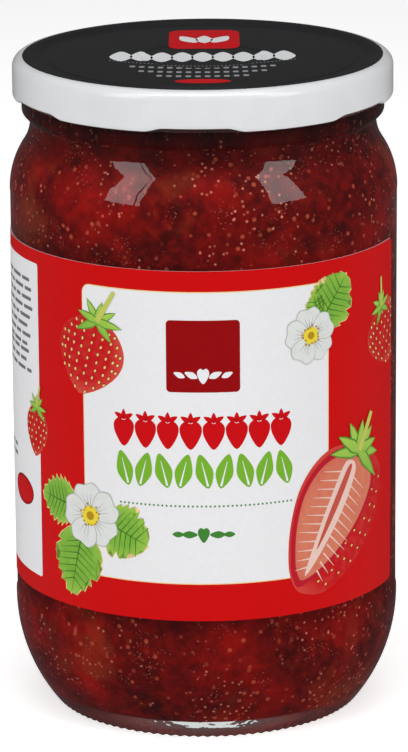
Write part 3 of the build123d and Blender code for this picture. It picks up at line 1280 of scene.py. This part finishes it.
    def fruit(self, sheet, inks, rng):
        """The berries, blossoms and leaves of the front, and a second spray at the back."""
        draw_berry(sheet, -27.2 * MM, 89.5 * MM, 17.6 * MM, 19.0 * MM, -17, inks, rng)
        draw_berry(sheet, -45.4 * MM, 68.6 * MM, 9.6 * MM, 12.4 * MM, -4, inks, rng, pitch=1.5 * MM)
        draw_berry(sheet, 51.0 * MM, 89.6 * MM, 17.0 * MM, 15.4 * MM, 20, inks, rng)
        draw_leaf(sheet, (26.5 * MM, 96.0 * MM), (34.5 * MM, 106.2 * MM), 12.5 * MM, 8, inks)
        draw_leaf(sheet, (26.5 * MM, 97.5 * MM), (25.2 * MM, 103.0 * MM), 6.5 * MM, 5, inks)
        draw_blossom(sheet, 24.4 * MM, 94.0 * MM, 12.4 * MM, 8, inks, rng)
        draw_leaf(sheet, (-31.5 * MM, 54.0 * MM), (-42.5 * MM, 55.2 * MM), 11.5 * MM, 8, inks)
        draw_leaf(sheet, (-29.5 * MM, 49.5 * MM), (-33.2 * MM, 33.6 * MM), 13.5 * MM, 9, inks)
        draw_leaf(sheet, (-24.0 * MM, 52.5 * MM), (-13.2 * MM, 47.6 * MM), 13.0 * MM, 8, inks)
        draw_blossom(sheet, -27.2 * MM, 52.7 * MM, 14.6 * MM, 12, inks, rng)
        draw_half_berry(sheet, 31.6 * MM, 50.4 * MM, 27.0 * MM, 35.5 * MM, -27, inks, rng)
        back = -157 * MM
        draw_leaf(sheet, (back + 8 * MM, 84 * MM), (back + 21 * MM, 93 * MM), 12 * MM, 8, inks)
        draw_leaf(sheet, (back + 4 * MM, 86 * MM), (back - 2 * MM, 101 * MM), 13 * MM, 8, inks)
        draw_berry(sheet, back - 8 * MM, 74 * MM, 21 * MM, 24 * MM, -14, inks, rng)
        draw_berry(sheet, back + 12 * MM, 60 * MM, 17.6 * MM, 20 * MM, 16, inks, rng)
        draw_blossom(sheet, back + 5 * MM, 84 * MM, 14 * MM, 20, inks, rng, layer=7)


class JAMJAR_OT_print_lid(bpy.types.Operator):
    """Prints the lid's top: a red plaque, a row of white marks, dots and fine rows"""

    bl_idname = "jamjar.print_lid"
    bl_label = "Lid print"

    def execute(self, context):
        s = context.scene.jar_lid
        sheet = PrintSheet(context.scene.jar_label.ink)
        white = sheet.ink("lid white print", linear(225, 226, 228), roughness=0.3)
        grey = sheet.ink("lid grey print", linear(150, 151, 154), roughness=0.3)
        red = sheet.ink("lid red print", linear(196, 24, 30), roughness=0.3)
        sheet.shape(rounded_box(-7.6 * MM, 8.6 * MM, 8.4 * MM, 29.0 * MM, 3.0 * MM), red, 3)
        for k in (-1, 0, 1):
            draw_leaf_mark(sheet, (0.4 + 3.6 * k) * MM, 18.0 * MM, 8.0 * MM, -k * 24, white, 4)
        for i in range(9):
            draw_leaf_mark(sheet, (-18.2 + i * 4.55) * MM, -0.8 * MM, 10.5 * MM, 0, white, 3)
        for i in range(49):
            across = -20.6 + i * 0.858
            up = -10.8 + 5.6 * (across / 20.6) ** 2
            sheet.shape(oval(across * MM, up * MM, 0.22 * MM, 0.3 * MM, 6), grey, 3)
        for row, (up, half) in enumerate(((-14.2, 15.5), (-18.8, 13.5), (-23.2, 9.5))):
            count = int(half * 2 / 1.9)
            for i in range(count):
                across = (i / (count - 1) * 2 - 1) * half
                lift = 2.2 * (across / 15.5) ** 2
                sheet.shape(
                    rounded_box(
                        (across - 0.62) * MM, (up + lift - 0.9) * MM, (across + 0.62) * MM, (up + lift + 0.9) * MM, 0.35 * MM, 2
                    ),
                    grey,
                    3,
                )
        sheet.shape(oval(0, -28.4 * MM, 6.2 * MM, 2.3 * MM, 24), red, 3)
        sheet.cut(0, 1.0 * MM)
        sheet.cut(2, 1.0 * MM)
        sheet.lay(lambda r: lid_height(s, r))
        add_piece(sheet.bm, "lid_print", sheet.inks, None)
        return {"FINISHED"}


# ---- Floor, light and camera ----


BOX_AWAY = 0.9
BOX_LOW, BOX_HIGH = 0.35, 1.55


class JAMJAR_OT_add_stage(bpy.types.Operator):
    """Adds the pale floor, the soft light and the camera"""

    bl_idname = "jamjar.add_stage"
    bl_label = "Stage"

    def execute(self, context):
        s = context.scene.jar_stage
        bm = bmesh.new()
        bmesh.ops.create_grid(bm, x_segments=8, y_segments=8, size=6.0)
        mesh = bpy.data.meshes.new("floor")
        bm.to_mesh(mesh)
        bm.free()
        floor = bpy.data.objects.new("floor", mesh)
        pale = Finish(
            "pale floor", Roughness=0.9, Specular_IOR_Level=0.1, Emission_Strength=s.floor_glow
        )
        pale.shader.inputs["Emission Color"].default_value = (1, 1, 1, 1)
        tone = pale.noise(0.4, detail=2.0)
        pale.drive("Base Color", pale.ramp(tone, (0.3, 0.93), (0.7, 0.95)))
        mesh.materials.append(pale.material)
        floor.visible_glossy = False
        context.scene.collection.objects.link(floor)

        world = bpy.data.worlds.new("studio")
        world.use_nodes = True
        nodes, links = world.node_tree.nodes, world.node_tree.links
        room = nodes["Background"]
        room.inputs["Color"].default_value = (1, 1, 1, 1)
        room.inputs["Strength"].default_value = 0.06
        backdrop = nodes.new("ShaderNodeBackground")
        backdrop.inputs["Strength"].default_value = 1.0
        path = nodes.new("ShaderNodeLightPath")
        mix = nodes.new("ShaderNodeMixShader")
        seen = nodes.new("ShaderNodeMath")
        seen.operation = "MAXIMUM"
        links.new(path.outputs["Is Camera Ray"], seen.inputs[0])
        links.new(path.outputs["Is Transmission Ray"], seen.inputs[1])
        links.new(seen.outputs[0], mix.inputs[0])
        links.new(room.outputs[0], mix.inputs[1])
        links.new(backdrop.outputs[0], mix.inputs[2])
        links.new(mix.outputs[0], nodes["World Output"].inputs["Surface"])
        context.scene.world = world

        for name, side, half_w, share in (
            ("soft box left", -51.0, 9.6, 0.84),
            ("soft box left edge", -39.0, 1.5, 0.13),
            ("soft box right", 51.2, 10.8, 0.97),
        ):
            size = (2 * BOX_AWAY * tan(radians(half_w)), BOX_HIGH - BOX_LOW)
            at = (side, BOX_AWAY, (BOX_LOW + BOX_HIGH) / 2)
            self.add_light(name, at, size, s.box_power * share, level=True)
        self.add_light("top light", (0.0, 0.05, 1.4), (0.9, 0.9), s.top_power)
        self.add_light("front light", (0.0, 0.52, 1.39), (1.4, 0.5), s.front_power)

        context.scene.view_settings.view_transform = "Standard"
        context.scene.view_settings.look = "None"
        data = bpy.data.cameras.new("camera")
        data.lens, data.sensor_width, data.clip_start = s.lens, 36.0, 0.05
        camera = bpy.data.objects.new("camera", data)
        aim = Vector((s.aim_x, 0, s.aim_z))
        away = Vector((0, -cos(s.camera_height), sin(s.camera_height)))
        look = (-away).to_track_quat("-Z", "Y").to_matrix().to_4x4()
        camera.matrix_world = (
            Matrix.Translation(aim + away * s.camera_distance)
            @ look
            @ Matrix.Rotation(s.camera_roll, 4, "Z")
        )
        context.scene.collection.objects.link(camera)
        context.scene.camera = camera
        return {"FINISHED"}

    def add_light(self, name, at, size, power, level=False):
        """An area light. at is its angle from the front in degrees, its distance and height.

        A level one stands upright, and any other one faces the jar."""
        data = bpy.data.lights.new(name, "AREA")
        data.shape = "RECTANGLE"
        data.size, data.size_y = size
        data.energy = power
        light = bpy.data.objects.new(name, data)
        side, distance, height = radians(at[0]), at[1], at[2]
        place = Vector((sin(side) * distance, -cos(side) * distance, height))
        aim = Vector((0, 0, height if level else 0.09))
        light.matrix_world = Matrix.Translation(place) @ (
            (aim - place).to_track_quat("-Z", "Y").to_matrix().to_4x4()
        )
        bpy.context.scene.collection.objects.link(light)


# ---- Panel, registration and the run ----

STEPS = (
    JAMJAR_OT_add_glass,
    JAMJAR_OT_add_jam,
    JAMJAR_OT_add_lid,
    JAMJAR_OT_add_label,
    JAMJAR_OT_print_label,
    JAMJAR_OT_print_lid,
    JAMJAR_OT_add_stage,
)
SETTINGS = {
    "jar_glass": JarGlassSizes,
    "jar_jam": JamSizes,
    "jar_lid": LidSizes,
    "jar_label": LabelSizes,
    "jar_print": PrintColours,
    "jar_stage": StageSettings,
}


class JAMJAR_PT_sidebar(bpy.types.Panel):
    """Steps and sizes of the jam jar"""

    bl_idname = "JAMJAR_PT_sidebar"
    bl_label = "Jam Jar"
    bl_space_type = "VIEW_3D"
    bl_region_type = "UI"
    bl_category = "Jam Jar"

    def draw(self, context):
        for step in STEPS:
            self.layout.operator(step.bl_idname)
        for name, group in SETTINGS.items():
            box = self.layout.box()
            for setting in group.__annotations__:
                box.prop(getattr(context.scene, name), setting)


def register():
    for group in (*SETTINGS.values(), *STEPS, JAMJAR_PT_sidebar):
        bpy.utils.register_class(group)
    for name, group in SETTINGS.items():
        setattr(bpy.types.Scene, name, PointerProperty(type=group))


def unregister():
    for name in SETTINGS:
        delattr(bpy.types.Scene, name)
    for group in (JAMJAR_PT_sidebar, *reversed(STEPS), *SETTINGS.values()):
        bpy.utils.unregister_class(group)


def main():
    register()
    for step in STEPS:
        group, name = step.bl_idname.split(".")
        getattr(getattr(bpy.ops, group), name)()


if __name__ == "__main__":
    main()
